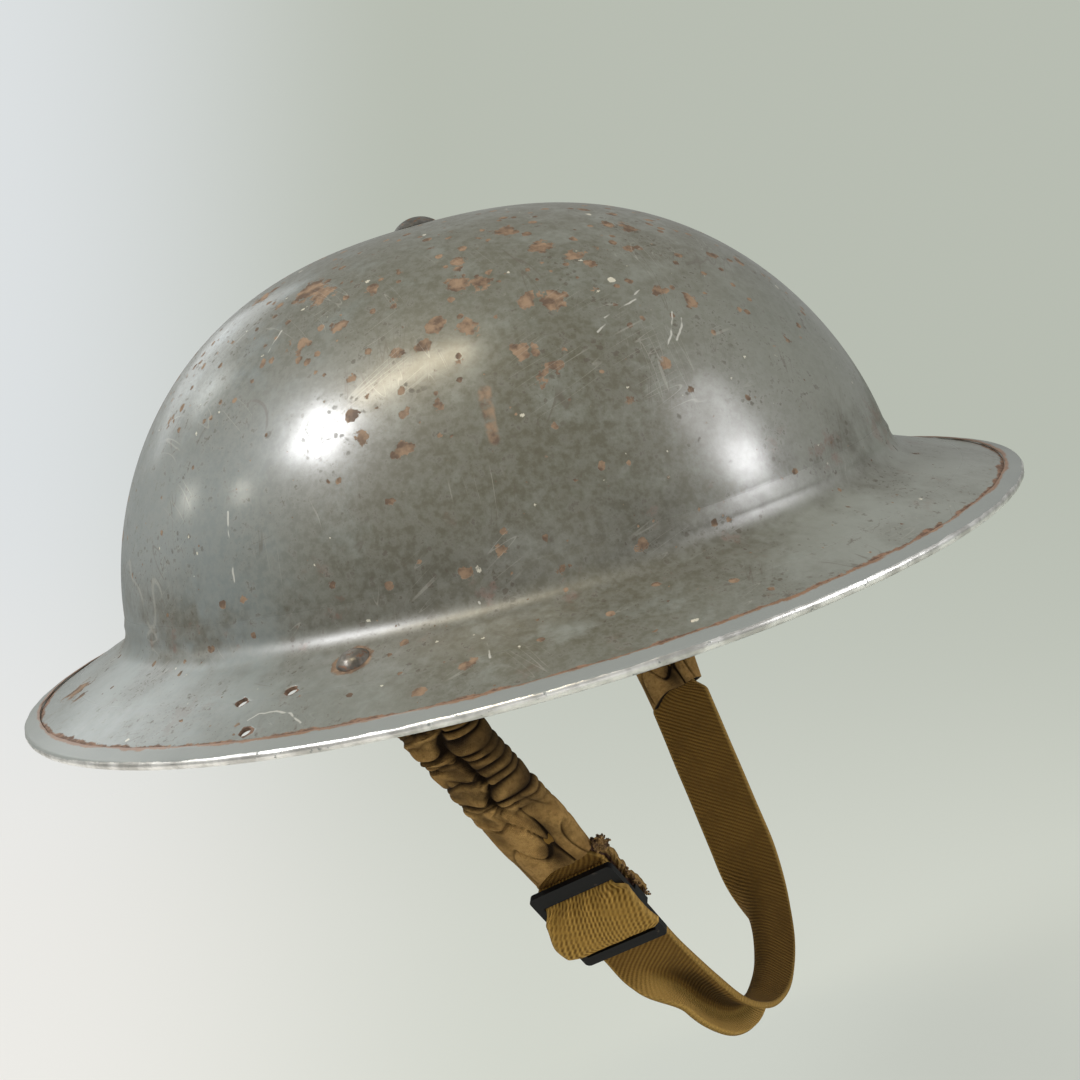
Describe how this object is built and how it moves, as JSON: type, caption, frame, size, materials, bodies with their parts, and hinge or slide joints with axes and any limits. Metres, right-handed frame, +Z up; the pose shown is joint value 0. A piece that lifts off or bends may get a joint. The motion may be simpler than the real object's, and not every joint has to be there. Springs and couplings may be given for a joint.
{
  "type": "helmet",
  "caption": "Shallow round pressed-steel helmet with a wide flared brim, a folded rim, a sprung liner of tongues and rubber buffers, and a sprung chinstrap with a slide buckle.",
  "frame": {"origin": "centre of the head opening, in the plane of the rim's front and rear edges", "axes": "+X towards the wearer's front, +Y towards the wearer's left, +Z up through the crown"},
  "size_m": [0.3095, 0.2874, 0.2722],
  "materials": {
    "grey_paint": "satin grey paint, scratched, with rust where it is chipped",
    "rim_paint": "satin grey paint, worn to bright metal at its lower edge",
    "dark_steel": "dull, darkened and lightly rusted",
    "tinned_steel": "dull tinned",
    "spring_steel": "bright drawn wire, dulled",
    "rivet_brass": "dull",
    "fibre": "matt pressed fibre",
    "leathercloth": "satin grained",
    "lace": "matt cotton",
    "felt": "matt felt",
    "buffer_rubber": "matt",
    "sleeve_cotton": "matt ruched cotton",
    "khaki_webbing": "matt ribbed twill",
    "black_enamel": "worn black"
  },
  "bodies": {
    "helmet": {"shell": "grey_paint", "rim_trim": "rim_paint", "crown_screw": "dark_steel", "crown_washer": "fibre", "crown_nut": "tinned_steel", "fore_aft_strip": "tinned_steel", "cross_strip": "tinned_steel", "liner_frame": "fibre", "band_rivets": "rivet_brass", "sweatband": "leathercloth", "liner_tongues": "leathercloth", "draw_lace": "lace", "crown_pad": "felt", "buffer_front": "buffer_rubber", "buffer_rear": "buffer_rubber", "buffer_right": "buffer_rubber", "buffer_left": "buffer_rubber", "right_lug": "grey_paint", "left_lug": "grey_paint", "right_lug_rivet": "dark_steel", "left_lug_rivet": "dark_steel"},
    "chinstrap_upper": {"right_ring": "dark_steel", "left_ring": "dark_steel", "right_springs": "spring_steel", "left_springs": "spring_steel", "right_sleeve": "sleeve_cotton", "left_sleeve": "sleeve_cotton"},
    "chin_webbing": {"right_spring_loop": "dark_steel", "left_spring_loop": "dark_steel", "webbing": "khaki_webbing", "webbing_tail": "khaki_webbing"},
    "strap_slide": {"strap_buckle": "black_enamel", "webbing_fold": "khaki_webbing"}
  },
  "joints": [
    {"name": "chinstrap_swing", "type": "hinge", "parent": "helmet", "child": "chinstrap_upper", "pos_m": [-0.001, 0, 0.00555], "axis": [0, 1, 0], "range_deg": [-10, 45]},
    {"name": "strap_stretch", "type": "slide", "parent": "chinstrap_upper", "child": "chin_webbing", "axis": [0.2756, 0, -0.9613], "range_m": [0, 0.02], "stiffness_N_per_m": 600, "deforming": ["right_springs", "left_springs", "right_sleeve", "left_sleeve"]},
    {"name": "buckle_slide", "type": "slide", "parent": "chin_webbing", "child": "strap_slide", "axis": [0.2569, 0.3627, -0.8958], "range_m": [0, 0.008]}
  ]
}
